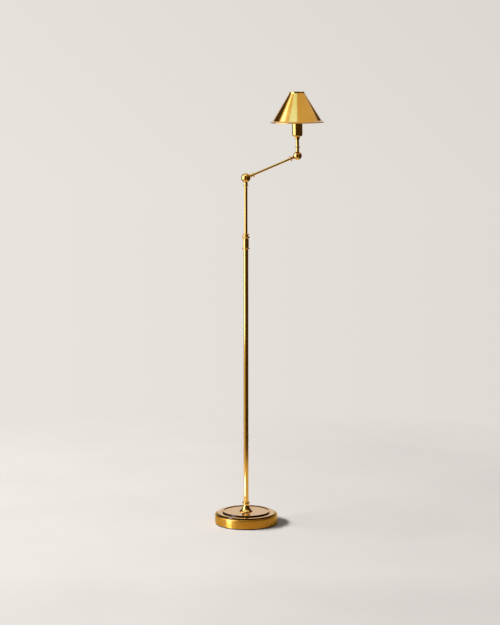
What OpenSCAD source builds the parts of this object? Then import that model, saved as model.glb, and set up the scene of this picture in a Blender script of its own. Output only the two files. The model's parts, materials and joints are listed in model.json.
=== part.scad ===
// Bridge floor lamp: a weighted round base, a telescoping pole with a collet clamp,
// a tilting arm between two split-ball knuckles, and an upright head with a cone shade.
// Millimetres. +Z is up, the origin is the centre of the base on the floor, and the arm
// points along +X. The knuckle pivots lie along Y.

/* [Base] */
// Diameter of the base cover
base_d = 243.5; // [215:0.5:300]
// Height of the top of the cover's straight wall
base_wall_top = 34.5; // [26:0.5:40]
// Width of the rounded shoulder over the wall
shoulder_w = 5.5; // [4:0.5:10]
// Height of the rounded shoulder over the wall
shoulder_h = 4.5; // [4:0.5:12]
// Width of the groove between the shoulder and the step
groove_w = 2; // [1:0.1:3]
// Depth of that groove
groove_depth = 1.4; // [0.6:0.1:2]
// Rise of the step inside the groove
step_rise = 4; // [3:0.5:8]
// Radius of the step's rounded edge
step_round = 2.5; // [2:0.1:3.5]
// Diameter of the raised top disc
tier_d = 174; // [150:1:200]
// Height of the top disc over the step
tier_rise = 4.5; // [1.8:0.1:6]
// Width of the bead round the top disc
tier_bead_w = 4; // [2:0.1:5]
// Thickness of the spun cover
cover_t = 1.2; // [0.8:0.1:1.8]
// Thickness of the felt pad
felt_t = 4; // [2:0.5:5]
// How far the felt's edge stays inside the cover's wall
felt_inset = 2; // [1:0.5:8]
// Diameter of the recess under the weight
recess_d = 50; // [40:1:80]
// Depth of the recess under the weight
recess_h = 10; // [9:0.5:12]

/* [Cord inlet] */
// Height of the cord inlet over the floor
inlet_z = 14; // [13.5:0.5:16]
// Bore of the cord grommet
inlet_bore_d = 7; // [5:0.5:8]
// Thickness of the grommet's rubber round its bore
grommet_wall = 2; // [1.5:0.1:2.5]
// How far the grommet's flanges reach beyond its neck
grommet_lip = 1.6; // [1:0.1:2]
// Thickness of the grommet's flanges
grommet_lip_t = 1.6; // [1:0.1:2.5]

/* [Fasteners under the base] */
// Outer diameter of the threaded nipple
nipple_d = 10; // [9:0.1:11]
// Bore of the threaded nipple
nipple_bore_d = 7; // [5:0.1:7.5]
// Length of nipple that shows below the locknut
nipple_tail = 1; // [0.5:0.5:2]
// Width of the locknut across its flats
locknut_af = 17; // [15:0.5:22]
// Thickness of the locknut
locknut_t = 4; // [3:0.5:4]
// Diameter of the washer over the locknut
base_washer_d = 32; // [24:1:36]
// Thickness of that washer
base_washer_t = 1.6; // [1:0.1:2]

/* [Bell] */
// Diameter of the bell's foot
bell_foot_d = 52; // [46:1:70]
// Height of the foot's straight edge
bell_foot_h = 1.6; // [1:0.1:3]
// Height of the bell from its foot to the neck
bell_sweep_h = 28; // [24:1:45]
// Power of the bell's sweep: a higher one hugs the foot more closely
bell_sweep_power = 2.3; // [1.5:0.1:3]
// Thickness of the neck round the pole
bell_neck_wall = 2.25; // [1.5:0.05:4]
// Height of the bell over the top of its sweep
bell_cap_h = 11.5; // [9:0.5:20]
// Diameter of the bead round the bell's neck
bell_bead_d = 29.5; // [26:0.5:34]
// Height of that bead
bell_bead_h = 6; // [4:0.5:8]
// Width of the bell's flat foot
bell_foot_w = 4; // [3:0.5:8]
// Space round the nipple at the top of the bell's hollow
bell_hollow_gap = 2.5; // [1.5:0.5:4]
// Height of the pole's seat over the foot
bell_seat_h = 15; // [13:0.5:16]
// Thickness of the web under the pole's seat
bell_web_t = 3; // [2:0.5:4]

/* [Pole] */
// Outer diameter of the lower tube
lower_tube_d = 19; // [18:0.1:21]
// Wall of the lower tube
lower_tube_wall = 1.4; // [1:0.1:1.6]
// Length of the lower tube
lower_tube_len = 1050.8; // [900:0.1:1200]
// Outer diameter of the upper tube
upper_tube_d = 12.7; // [11.5:0.1:13.2]
// Wall of the upper tube
upper_tube_wall = 1.2; // [0.8:0.1:1.5]
// Height of the upper tube's seat over the lower tube's top
pole_extension = 205.75; // [195:0.25:320]
// Length of the upper tube
upper_tube_len = 397; // [385:1:520]
// Length of the threaded bushing in the lower tube's foot
foot_bushing_len = 12; // [8:0.5:20]
// Length of nipple that enters the foot bushing
nipple_grip = 10; // [6:0.5:12]
// Length of the plastic guide bush
guide_bush_len = 28; // [15:1:40]
// Thickness of each ring that keeps the guide bush in place
retainer_t = 4; // [3:0.5:8]
// Thickness of the retaining rings over the upper tube
retainer_wall = 1.2; // [0.8:0.1:1.4]

/* [Collar] */
// Length of the collar sleeve below the lower tube's top
sleeve_grip = 36.5; // [25:0.5:60]
// Wall of the collar sleeve round the lower tube
sleeve_wall = 1.9; // [1.5:0.1:3]
// Height of the collar sleeve's shoulder over the lower tube's top
sleeve_shoulder_h = 2; // [1:0.5:4]
// Diameter of the ring at the sleeve's foot
sleeve_ring_d = 30.4; // [27:0.1:34]
// Height of that ring
sleeve_ring_h = 5; // [3:0.5:8]
// Diameter of the thread under the clamp nut
thread_d = 20.8; // [20:0.1:21.6]
// Height of the thread over the sleeve's shoulder
thread_h = 7.5; // [5:0.5:10]
// Gap that shows between the sleeve and the clamp nut
nut_gap = 2.8; // [1:0.1:3]
// Diameter of the clamp nut's grip ring
nut_ring_d = 30; // [26:0.5:34]
// Height of the grip ring
nut_ring_h = 8.5; // [6:0.5:9]
// Diameter of the clamp nut's neck
nut_neck_d = 20; // [19.6:0.1:22]
// Height of the clamp nut's neck
nut_neck_h = 5; // [4:0.5:12]
// Diameter of the ring at the nut's top
nut_top_d = 26; // [22:0.5:30]
// Height of the ring at the nut's top
nut_top_h = 4.5; // [3:0.5:8]
// Number of shallow flutes round the grip ring
nut_flutes = 36; // [24:1:40]
// Depth of the flutes
flute_depth = 0.4; // [0.2:0.1:0.6]
// Radius of the cutter that makes the flutes
flute_r = 1; // [0.6:0.1:1.2]
// Length of the collet's cone
collet_cone_h = 7; // [4:0.5:7]
// Thickness of the collet at its nose
collet_nose_wall = 0.9; // [0.6:0.1:1]
// Number of slots in the collet
collet_slots = 4; // [3:1:6]
// Width of each slot
collet_slot_w = 1; // [0.6:0.1:1.5]
// Length of uncut collet at its foot
collet_root = 3; // [2:0.5:5]

/* [Arm] */
// Height of the elbow's pivot over the upper tube's seat
elbow_rise = 31.25; // [31:0.25:40]
// Distance between the elbow's pivot and the head's pivot
arm_len = 215; // [190:1:320]
// Angle of the arm over level, at rest
arm_rise = 23.2; // [10:0.1:40]
// Outer diameter of the arm tube
arm_tube_d = 9; // [8.5:0.1:11]
// Wall of the arm tube
arm_tube_wall = 1; // [0.8:0.1:1.2]

/* [Knuckles] */
// Diameter of the elbow's ball
elbow_ball_d = 36.5; // [35:0.5:38]
// Diameter of the head's ball
head_ball_d = 33; // [31.5:0.5:34]
// Wall of the hollow balls
ball_wall = 3; // [2.5:0.1:4]
// Gap between the two halves of a ball
seam = 1.2; // [0.8:0.1:1.6]
// Gap between a half ball and the other half's shank
shank_gap = 0.4; // [0.35:0.05:0.8]
// Diameter of the boss round a pivot
boss_d = 13; // [12.4:0.1:14]
// Diameter of the pocket over a screw head or nut
pocket_d = 10; // [9.6:0.1:10.4]
// Depth of that pocket below the ball's crown
pocket_depth = 7; // [6.4:0.1:7.4]
// Distance of a shank's ring from the elbow's pivot
elbow_ring_dist = 30.5; // [29:0.1:32]
// Distance of a shank's ring from the head's pivot
head_ring_dist = 29.5; // [27:0.1:32]
// Thickness of the rings on the shanks
ring_t = 4.5; // [3:0.1:5]
// Diameter of the ring over the mast
mast_ring_d = 21.5; // [18:0.1:24]
// Diameter of the mast's shank between ring and ball
mast_neck_d = 14.5; // [12.8:0.1:16]
// Diameter of the rings at the arm's ends
arm_ring_d = 22; // [16:0.1:24]
// Diameter of the ring under the stem
stem_ring_d = 21.5; // [16:0.1:24]
// Diameter of the arm's shanks between ring and ball
arm_neck_d = 10.4; // [9.4:0.1:12]
// Diameter of the small bead at each end of the arm
arm_bead_d = 16; // [12:0.1:17]
// Thickness of that small bead
arm_bead_t = 2.4; // [1.6:0.1:3]
// Gap between the small bead and the ball's crown
arm_bead_gap = 2.2; // [1.8:0.1:4]
// Length of the spigots inside the tubes
spigot_len = 16; // [10:0.5:24]
// Bore for the wires through a shank
wire_bore_d = 5; // [4:0.1:5.4]
// Metal left between a pivot's boss and the wire bore
boss_skin = 1; // [0.6:0.1:2]

/* [Pivot screws] */
// Diameter of a pivot screw
screw_d = 4; // [3.5:0.1:4.5]
// Diameter of its head
screw_head_d = 8.4; // [7:0.1:8.8]
// Height of its head
screw_head_h = 2.6; // [2:0.1:3]
// Width of the slot in the head
screw_slot_w = 1.1; // [0.8:0.1:1.5]
// Depth of the slot in the head
screw_slot_depth = 1.2; // [0.8:0.1:1.5]
// Length of thread that shows beyond the nut
screw_tail = 0.8; // [0.4:0.1:1]
// Width of the nut across its flats
pivot_nut_af = 7; // [6.5:0.1:7.6]
// Thickness of the nut
pivot_nut_t = 3.2; // [2.5:0.1:3.4]
// Diameter of the flat washer
pivot_washer_d = 9; // [8:0.1:9.2]
// Thickness of the flat washer
pivot_washer_t = 0.8; // [0.5:0.1:1]
// Diameter of the spring washer
spring_washer_d = 7.4; // [6.6:0.1:8]
// Thickness of the spring washer
spring_washer_t = 1; // [0.6:0.1:1.2]
// Width of the split in the spring washer
spring_split = 0.8; // [0.4:0.1:1.2]

/* [Stem and socket] */
// Lean of the head from upright at rest, its top away from the arm's tip
head_lean = 0.8; // [0:0.1:3]
// Height of the stem's ring over the head's pivot
stem_ring_dist = 32.5; // [30:0.1:40]
// Outer diameter of the stem tube
stem_tube_d = 12.7; // [11.6:0.1:13.4]
// Wall of the stem tube
stem_tube_wall = 1; // [0.8:0.1:1.4]
// Length of the stem tube
stem_tube_len = 32.6; // [26:0.1:80]
// Depth of the coupling's bore that takes the stem
coupling_grip = 6.5; // [4:0.5:8]
// Diameter of the coupling at its foot
coupling_foot_d = 15; // [14.2:0.1:16]
// Diameter of the coupling at its top
coupling_top_d = 20; // [17:0.1:22]
// Height of the coupling's cone
coupling_h = 11; // [9:0.5:16]
// Outer diameter of the socket cup
cup_d = 40.2; // [39:0.1:46]
// Height of the socket cup
cup_h = 65.6; // [60:0.1:75]
// Radius of the cup's rounded foot
cup_foot_r = 9.5; // [6:0.5:10]
// Wall of the socket cup
cup_wall = 1; // [0.8:0.1:1.4]
// Width of the cup's locknut across its flats
cup_nut_af = 14; // [13:0.5:15]
// Thickness of the cup's locknut
cup_nut_t = 3; // [2:0.5:4]
// Length of the coupling's thread that shows beyond that locknut
coupling_tail = 1; // [0.5:0.5:2]
// Room round the locknut inside the insulator's foot
cup_nut_room = 0.6; // [0.3:0.1:0.8]
// Gap between the insulator and the cup
insulator_gap = 0.6; // [0.3:0.1:1]
// Height of the insulator's foot over the cup's floor
insulator_foot_h = 11; // [9:0.5:13]
// Height of the threaded neck over the cup's rim
socket_neck_h = 10; // [8:0.5:16]
// Diameter of the threaded neck over the cup's rim
socket_neck_d = 35; // [33:0.1:36]
// Gap between the socket's rim and the bulb's glass
bulb_rim_gap = 1; // [0.5:0.5:3]
// Hole for the rivet of the centre contact
rivet_hole_d = 3.2; // [2:0.1:4]
// Inner diameter of the screw shell
shell_bore_d = 26.6; // [26.4:0.1:27.5]
// Wall of the screw shell
shell_wall = 0.6; // [0.4:0.1:1]
// Width of the centre contact
contact_w = 7; // [5:0.5:9]
// Thickness of the centre contact
contact_t = 0.8; // [0.5:0.1:1.2]
// Height of the centre contact's crown
contact_h = 4; // [3:0.5:6]

/* [Shade] */
// Height of the shade's seat over the cup's rim
carrier_t = 2; // [1.5:0.1:3]
// Width of the carrier's hub round the socket neck
hub_w = 6.5; // [5:0.5:10]
// Width of each carrier spoke
spoke_w = 6; // [4:0.5:9]
// Number of carrier spokes
spokes = 3; // [3:1:5]
// Angle of the first spoke from the arm's line
spoke_turn = 30; // [0:5:60]
// Height of the carrier's hoop
hoop_h = 4; // [3:0.5:6]
// Thickness of the carrier's hoop
hoop_t = 1.6; // [1:0.1:3]
// Height of the ring nut over the carrier
shade_nut_h = 5; // [4:0.5:7]
// Width of the ring nut round the socket neck
shade_nut_w = 4; // [3:0.5:5]
// Thickness of the shade's metal
shade_t = 0.9; // [0.6:0.1:1.5]
// Radius of the cone at its foot
cone_foot_r = 94.4; // [85:0.1:120]
// Radius of the cone at its top
cone_top_r = 30.2; // [30:0.1:45]
// Height of the cone
cone_h = 102.4; // [90:0.1:140]
// Height of the carrier's seat over the cone's foot
seat_over_foot = 5.8; // [2:0.1:8]
// Width of the flared lip below the cone
lip_w = 9.6; // [6:0.1:14]
// Height of the lip, from the cone's foot to the middle of its rolled edge
lip_h = 6.2; // [5:0.1:12]
// Height over which the lip bends out of the cone
lip_bend_h = 1.5; // [0.5:0.1:2.5]
// Diameter of the rolled edge round the lip
roll_d = 4; // [2.4:0.1:4.6]
// Radius of the collar at the shade's top
collar_r = 29.1; // [27:0.1:29.8]
// Height of that collar over the cone
collar_h = 6.5; // [5:0.5:16]
// Height of the bend between the cone and its collar
collar_bend_h = 2.5; // [1.5:0.1:4]

/* [Bulb] */
// Diameter of the bulb's screw base
bulb_base_d = 26; // [25.6:0.1:26.3]
// Height of the bulb's screw base
bulb_base_h = 25; // [22:0.5:27]
// Diameter of the bulb's glass
bulb_d = 56; // [50:1:62]
// Height of the glass over its base
bulb_h = 76; // [70:1:82]
// Thickness of the glass
bulb_t = 0.9; // [0.6:0.1:1.5]

/* [Fits] */
// Radial clearance of a part that runs or slides on another
run_fit = 0.06; // [0.03:0.01:0.08]
// Play left between flat faces that turn on each other
face_play = 0.1; // [0.05:0.01:0.15]
// Space left round the weight inside its cover
weight_gap = 0.5; // [0.3:0.1:1]
// Space between the clamp nut and the collet, and round the upper tube at the nut's nose
nose_gap = 0.35; // [0.3:0.01:0.5]
// Space between the carrier's hoop and the shade
hoop_fit = 0.05; // [0.02:0.01:0.1]

/* [Hidden] */
$fn = 96;
// A cut runs this far past a face, so that no skin is left
eps = 1;
// Steps of a small arc, and of a long curve
arc_steps = 10;
curve_steps = 20;

// Points of an arc or ellipse quarter: centre [cx, cy], radii [rx, ry], n steps
function arc(cx, cy, rx, ry, a0, a1, n) =
    [for (i = [0 : n]) let (a = a0 + (a1 - a0) * i / n) [cx + rx * cos(a), cy + ry * sin(a)]];

// Points of a bend from p0 to p2 that leaves and arrives in line with p1
function bend(p0, p1, p2, n) =
    [for (i = [0 : n]) let (s = i / n) p0 * pow(1 - s, 2) + p1 * 2 * s * (1 - s) + p2 * pow(s, 2)];

// Radius of the corners of a hexagon of that width across its flats
function hex_corner_r(af) = af / 2 / cos(30);

// Base levels and radii
base_r = base_d / 2;
tier_r = tier_d / 2;
shoulder_r = base_r - shoulder_w;
shoulder_z = base_wall_top + shoulder_h;
groove_z = shoulder_z - groove_depth;
step_r = shoulder_r - groove_w;
step_z = shoulder_z + step_rise;
disc_z = step_z + tier_rise;
bead_r = tier_bead_w / 2;
cover_under_z = disc_z - cover_t;
// Lowest level of the cover's underside between its wall and its top disc
cover_step_z = groove_z - cover_t;
recess_top_z = felt_t + recess_h;

// Nipple and bell
nipple_r = nipple_d / 2;
locknut_top_z = recess_top_z - base_washer_t;
nipple_foot_z = locknut_top_z - locknut_t - nipple_tail;
pole_foot_z = disc_z + bell_seat_h;
nipple_top_z = pole_foot_z + nipple_grip;
lower_r = lower_tube_d / 2;
lower_bore_r = lower_r - lower_tube_wall;
neck_r = lower_r + bell_neck_wall;
bell_neck_z = disc_z + bell_sweep_h;
bell_top_z = bell_neck_z + bell_cap_h;

// Pole and collar
pole_top_z = pole_foot_z + lower_tube_len;
upper_r = upper_tube_d / 2;
upper_bore_r = upper_r - upper_tube_wall;
mast_seat_z = pole_top_z + pole_extension;
upper_foot_z = mast_seat_z - upper_tube_len;
bush_foot_z = upper_foot_z + retainer_t + face_play;
bush_top_z = bush_foot_z + guide_bush_len;
sleeve_foot_z = pole_top_z - sleeve_grip;
sleeve_r = lower_r + sleeve_wall;
sleeve_top_z = pole_top_z + sleeve_shoulder_h;
thread_r = thread_d / 2;
thread_top_z = sleeve_top_z + thread_h;
nut_foot_z = sleeve_top_z + nut_gap;
nut_ring_top_z = nut_foot_z + nut_ring_h;
nut_neck_top_z = nut_ring_top_z + nut_neck_h;
nut_top_z = nut_neck_top_z + nut_top_h;
collet_bore_r = upper_r + run_fit;
collet_cone_top_z = thread_top_z + collet_cone_h;
collet_nose_r = collet_bore_r + collet_nose_wall;

// Elbow, arm and head pivots
elbow_z = mast_seat_z + elbow_rise;
elbow_r = elbow_ball_d / 2;
head_r = head_ball_d / 2;
boss_r = boss_d / 2;
arm_r = arm_tube_d / 2;
arm_bore_r = arm_r - arm_tube_wall;
arm_tube_start = elbow_ring_dist + ring_t / 2;
arm_tube_end = arm_len - head_ring_dist - ring_t / 2;
head_x = arm_len * cos(arm_rise);
head_z = elbow_z + arm_len * sin(arm_rise);

// Head levels, measured up the head's own axis from its pivot
stem_r = stem_tube_d / 2;
stem_bore_r = stem_r - stem_tube_wall;
stem_foot = stem_ring_dist + ring_t / 2;
stem_top = stem_foot + stem_tube_len;
coupling_foot = stem_top - coupling_grip;
cup_foot = coupling_foot + coupling_h;
cup_r = cup_d / 2;
cup_floor = cup_foot + cup_wall;
cup_rim = cup_foot + cup_h;
insulator_floor = cup_floor + insulator_foot_h;
neck_top = cup_rim + socket_neck_h;
shell_depth = contact_h + bulb_base_h - bulb_rim_gap;
shell_foot = neck_top - shell_depth;
shell_r = shell_bore_d / 2 + shell_wall;
socket_neck_r = socket_neck_d / 2;
hub_r = socket_neck_r + hub_w;
carrier_top = cup_rim + carrier_t;
cone_foot = carrier_top - seat_over_foot;
cone_top = cone_foot + cone_h;
cone_slope = (cone_foot_r - cone_top_r) / cone_h;
// Angle on the rolled edge where the sheet's end meets the lip's underside again
roll_end_angle = -225;
// Sheet thickness of the cone, measured level
cone_wall = shade_t * sqrt(1 + cone_slope * cone_slope);
shade_top = cone_top + collar_h;
bulb_foot = shell_foot + contact_h;
glass_foot = bulb_foot + bulb_base_h;
bulb_r = bulb_d / 2;

// Radius of the inside of the cone at a height on the head's axis
function cone_bore_r(h) = cone_foot_r - cone_wall - (h - cone_foot) * cone_slope;

brass = "goldenrod";
satin_brass = "darkgoldenrod";
steel = "silver";
iron = "dimgray";

// ---- Helpers ----

// A flat ring from z = 0 to h
module ring(r_out, r_in, h) {
    difference() {
        cylinder(r = r_out, h = h);
        translate([0, 0, -eps]) cylinder(r = r_in, h = h + 2 * eps);
    }
}

// A ring whose outer edge is a half round, centred on z = 0
module bead(r, h) {
    rotate_extrude() {
        translate([r - h / 2, 0]) circle(d = h, $fn = 32);
        translate([0, -h / 2]) square([r - h / 2, h]);
    }
}

// A hexagonal nut from z = 0 to t
module hex_nut(af, bore_r, t) {
    difference() {
        cylinder(r = hex_corner_r(af), h = t, $fn = 6);
        translate([0, 0, -eps]) cylinder(r = bore_r, h = t + 2 * eps);
    }
}

// Places children in the arm's own frame: its pivot at the origin, the arm along +X
module in_arm() translate([0, 0, elbow_z]) rotate([0, -arm_rise, 0]) children();

// Places children in the head's own frame: its pivot at the origin, the stem along +Z
module in_head() translate([head_x, 0, head_z]) rotate([0, -head_lean, 0]) children();

// Places children that are drawn along +Z so that they run along -Y or +Y
module to_front() rotate([90, 0, 0]) children();
module to_back() rotate([-90, 0, 0]) children();

// ---- Split-ball knuckle ----

// A shank along +Z from inside the ball: neck, ring and tube spigot
module shank(neck_radius, ring_dist, ring_radius, spigot_radius) {
    cylinder(r = neck_radius, h = ring_dist);
    translate([0, 0, ring_dist]) bead(ring_radius, ring_t);
    cylinder(r = spigot_radius, h = ring_dist + ring_t / 2 + spigot_len);
}

// Half of a hollow ball on the +Y side, with its pivot boss and its shank along +Z.
// The other half turns inside the hollow that the shank leaves round it.
module knuckle_half(ball_r, neck_radius, ring_dist, ring_radius, spigot_radius) {
    bore_top = ring_dist + ring_t / 2 + spigot_len;
    difference() {
        union() {
            // The half ball, hollow but for its boss
            difference() {
                beyond(seam / 2, ball_r) sphere(r = ball_r);
                difference() {
                    sphere(r = ball_r - ball_wall);
                    to_back() cylinder(r = boss_r, h = ball_r);
                }
            }
            // The shank, clear of the other half
            difference() {
                shank(neck_radius, ring_dist, ring_radius, spigot_radius);
                sphere(r = ball_r - ball_wall / 2);
                mirror([0, 1, 0]) beyond(-seam / 2, ball_r) sphere(r = ball_r + shank_gap);
            }
            children();
        }
        to_back() translate([0, 0, -eps]) cylinder(r = screw_d / 2 + run_fit, h = ball_r + eps);
        to_back() translate([0, 0, ball_r - pocket_depth]) cylinder(d = pocket_d, h = pocket_depth + eps);
        translate([0, 0, boss_r + boss_skin]) cylinder(d = wire_bore_d, h = bore_top - boss_r);
    }
}

// Keeps what lies beyond a level of Y
module beyond(y, reach) {
    intersection() {
        children();
        translate([-2 * reach, y, -2 * reach]) cube([4 * reach, 2 * reach, 4 * reach]);
    }
}

// The pivot screw, its head at the front and its thread through the back half
module pivot_screw(ball_r) {
    floor_y = ball_r - pocket_depth;
    head_y = floor_y + face_play + pivot_washer_t + spring_washer_t;
    color(steel) {
        translate([0, floor_y + pivot_nut_t + screw_tail, 0])
            to_front() cylinder(d = screw_d, h = floor_y + pivot_nut_t + screw_tail + head_y);
        to_front() translate([0, 0, head_y]) difference() {
            cylinder(d = screw_head_d, h = screw_head_h);
            translate([-screw_head_d, -screw_slot_w / 2, screw_head_h - screw_slot_depth])
                cube([2 * screw_head_d, screw_slot_w, screw_slot_depth + eps]);
        }
    }
}

module pivot_washer(ball_r)
    color(steel) to_front() translate([0, 0, ball_r - pocket_depth + face_play])
        ring(pivot_washer_d / 2, screw_d / 2, pivot_washer_t);

module pivot_spring_washer(ball_r)
    color(steel) to_front() translate([0, 0, ball_r - pocket_depth + face_play + pivot_washer_t])
        difference() {
            ring(spring_washer_d / 2, screw_d / 2, spring_washer_t);
            translate([0, -spring_split / 2, -eps])
                cube([spring_washer_d, spring_split, spring_washer_t + 2 * eps]);
        }

module pivot_nut(ball_r)
    color(steel) to_back() translate([0, 0, ball_r - pocket_depth])
        hex_nut(pivot_nut_af, screw_d / 2, pivot_nut_t);

// The fibre washer between the two bosses, seated on the back one
module friction_washer()
    color(iron) to_front() translate([0, 0, -seam / 2])
        ring(boss_r, screw_d / 2, seam - face_play);

// ---- Base ----

module felt_pad()
    color("black") cylinder(r = base_r - felt_inset, h = felt_t);

// Cast weight: a stepped disc with a recess below and a channel for the cord
module base_weight() {
    rim_r = base_r - cover_t - weight_gap;
    color(iron) difference() {
        rotate_extrude() polygon([
            [nipple_r, felt_t],
            [rim_r, felt_t],
            [rim_r, base_wall_top - cover_t - weight_gap],
            [shoulder_r - cover_t - weight_gap, cover_step_z - weight_gap],
            [tier_r - cover_t - weight_gap, cover_step_z - weight_gap],
            [tier_r - cover_t - weight_gap, cover_under_z],
            [nipple_r, cover_under_z]]);
        translate([0, 0, felt_t - eps]) cylinder(d = recess_d, h = recess_h + eps);
        channel_w = inlet_bore_d + 2 * (grommet_wall + grommet_lip + weight_gap);
        translate([-channel_w / 2, 0, felt_t - eps])
            cube([channel_w, base_r, inlet_z + channel_w / 2 - felt_t + eps]);
    }
}

// Spun cover: wall, rounded shoulder, groove, step, riser and beaded top disc
module base_shell() {
    step_in = step_round - cover_t;
    outside = concat(
        [[base_r, felt_t]],
        arc(shoulder_r, base_wall_top, shoulder_w, shoulder_h, 0, 90, arc_steps),
        [[shoulder_r - groove_w / 2, groove_z], [step_r, groove_z]],
        arc(step_r - step_round, step_z - step_round, step_round, step_round, 0, 90, arc_steps),
        [[tier_r, step_z]],
        arc(tier_r - bead_r, disc_z, bead_r, bead_r, 0, 180, arc_steps),
        [[nipple_r, disc_z]]);
    inside = concat(
        [[nipple_r, cover_under_z],
        [tier_r - cover_t, cover_under_z],
        [tier_r - cover_t, step_z - cover_t]],
        arc(step_r - step_round, step_z - step_round, step_in, step_in, 90, 0, arc_steps),
        [[step_r - cover_t, cover_step_z], [shoulder_r - groove_w / 2, cover_step_z]],
        arc(shoulder_r, base_wall_top, shoulder_w - cover_t, shoulder_h - cover_t, 90, 0, arc_steps),
        [[base_r - cover_t, felt_t]]);
    color(brass) difference() {
        rotate_extrude($fn = 180) polygon(concat(outside, inside));
        translate([0, base_r - shoulder_w, inlet_z]) to_back()
            cylinder(r = inlet_bore_d / 2 + grommet_wall, h = 2 * shoulder_w);
    }
}

// Rubber grommet in the back of the wall, a neck between two flanges
module cord_grommet() {
    neck = inlet_bore_d / 2 + grommet_wall;
    flange = neck + grommet_lip;
    wall_in = sqrt(pow(base_r - cover_t, 2) - flange * flange);
    color("black") translate([0, 0, inlet_z]) to_back() difference() {
        union() {
            translate([0, 0, base_r]) cylinder(r = flange, h = grommet_lip_t);
            translate([0, 0, wall_in - grommet_lip_t])
                cylinder(r = neck, h = base_r - wall_in + 2 * grommet_lip_t);
            translate([0, 0, wall_in - grommet_lip_t]) cylinder(r = flange, h = grommet_lip_t);
        }
        translate([0, 0, wall_in - grommet_lip_t - eps])
            cylinder(d = inlet_bore_d, h = base_r - wall_in + 2 * grommet_lip_t + 2 * eps);
    }
}

module base_nipple()
    color(satin_brass) translate([0, 0, nipple_foot_z])
        ring(nipple_r, nipple_bore_d / 2, nipple_top_z - nipple_foot_z);

module base_washer()
    color(steel) translate([0, 0, locknut_top_z]) ring(base_washer_d / 2, nipple_r, base_washer_t);

module base_locknut()
    color(steel) translate([0, 0, locknut_top_z - locknut_t]) hex_nut(locknut_af, nipple_r, locknut_t);

// Turned bell: a concave sweep from the foot to the neck, with a bead round the neck
module base_bell() {
    foot_r = bell_foot_d / 2;
    sweep_z = disc_z + bell_foot_h;
    sweep_h = bell_neck_z - sweep_z;
    sweep = [for (i = [0 : curve_steps]) let (s = i / curve_steps)
        [neck_r + (foot_r - neck_r) * pow(1 - s, bell_sweep_power), sweep_z + sweep_h * s]];
    hollow_foot_r = foot_r - bell_foot_w;
    color(brass) difference() {
        union() {
            rotate_extrude() polygon(concat(
                [[nipple_r, disc_z], [foot_r, disc_z]], sweep,
                [[neck_r, bell_top_z], [nipple_r, bell_top_z]]));
            translate([0, 0, bell_neck_z + bell_cap_h / 2]) difference() {
                bead(bell_bead_d / 2, bell_bead_h);
                cylinder(r = lower_r, h = 2 * bell_bead_h, center = true);
            }
        }
        translate([0, 0, pole_foot_z]) cylinder(r = lower_r, h = bell_top_z - pole_foot_z + eps);
        translate([0, 0, disc_z]) cylinder(
            r1 = hollow_foot_r,
            r2 = nipple_r + bell_hollow_gap,
            h = bell_seat_h - bell_web_t);
    }
}

// ---- Pole ----

module foot_bushing()
    color(satin_brass) translate([0, 0, pole_foot_z]) ring(lower_bore_r, nipple_r, foot_bushing_len);

module lower_tube()
    color(brass) translate([0, 0, pole_foot_z]) ring(lower_r, lower_bore_r, lower_tube_len);

module guide_bush()
    color("ivory") translate([0, 0, bush_foot_z])
        ring(lower_bore_r - run_fit, upper_r + run_fit, guide_bush_len);

module upper_tube()
    color(brass) translate([0, 0, upper_foot_z]) ring(upper_r, upper_bore_r, upper_tube_len);

// Two rings on the upper tube, one on each side of the guide bush
module bush_retainers()
    color(satin_brass) for (z = [upper_foot_z, bush_top_z + face_play])
        translate([0, 0, z]) ring(upper_r + retainer_wall, upper_r, retainer_t);

// Sleeve on the lower tube's top, with the thread for the clamp nut
module collar_sleeve()
    color(brass) difference() {
        union() {
            translate([0, 0, sleeve_foot_z]) cylinder(r = sleeve_r, h = sleeve_top_z - sleeve_foot_z);
            translate([0, 0, sleeve_foot_z + sleeve_ring_h / 2]) bead(sleeve_ring_d / 2, sleeve_ring_h);
            translate([0, 0, sleeve_top_z]) cylinder(r = thread_r, h = thread_h);
        }
        translate([0, 0, sleeve_foot_z - eps]) cylinder(r = lower_r, h = sleeve_grip + eps);
        translate([0, 0, pole_top_z - eps])
            cylinder(r = lower_bore_r, h = thread_top_z - pole_top_z + 2 * eps);
    }

// Slotted collet that stands on the lower tube's bore edge and closes on the upper tube
module collet()
    color(satin_brass) difference() {
        rotate_extrude() polygon([
            [collet_bore_r, pole_top_z],
            [lower_bore_r, pole_top_z],
            [lower_bore_r, thread_top_z],
            [collet_nose_r, collet_cone_top_z],
            [collet_bore_r, collet_cone_top_z]]);
        for (i = [0 : collet_slots - 1]) rotate(i * 360 / collet_slots)
            translate([0, -collet_slot_w / 2, pole_top_z + collet_root])
                cube([lower_r, collet_slot_w, collet_cone_top_z - pole_top_z]);
    }

// Clamp nut: a fluted grip ring, a neck and a top ring round the collet's cone
module clamp_nut() {
    nose_r = upper_r + nose_gap;
    color(brass) difference() {
        union() {
            translate([0, 0, nut_foot_z + nut_ring_h / 2]) bead(nut_ring_d / 2, nut_ring_h);
            translate([0, 0, nut_foot_z]) cylinder(d = nut_neck_d, h = nut_top_z - nut_foot_z);
            translate([0, 0, nut_top_z - nut_top_h / 2]) bead(nut_top_d / 2, nut_top_h);
        }
        translate([0, 0, nut_foot_z - eps])
            cylinder(r = thread_r + run_fit, h = thread_top_z - nut_foot_z + nose_gap + eps);
        translate([0, 0, thread_top_z + nose_gap]) cylinder(
            r1 = lower_bore_r + nose_gap,
            r2 = collet_nose_r + nose_gap,
            h = collet_cone_h);
        translate([0, 0, nut_foot_z]) cylinder(r = nose_r, h = nut_top_z - nut_foot_z + eps);
        for (i = [0 : nut_flutes - 1]) rotate(i * 360 / nut_flutes)
            translate([nut_ring_d / 2 + flute_r - flute_depth, 0, nut_foot_z - eps])
                cylinder(r = flute_r, h = nut_ring_h + 2 * eps, $fn = 24);
    }
}

// ---- Elbow, on the mast ----

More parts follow.
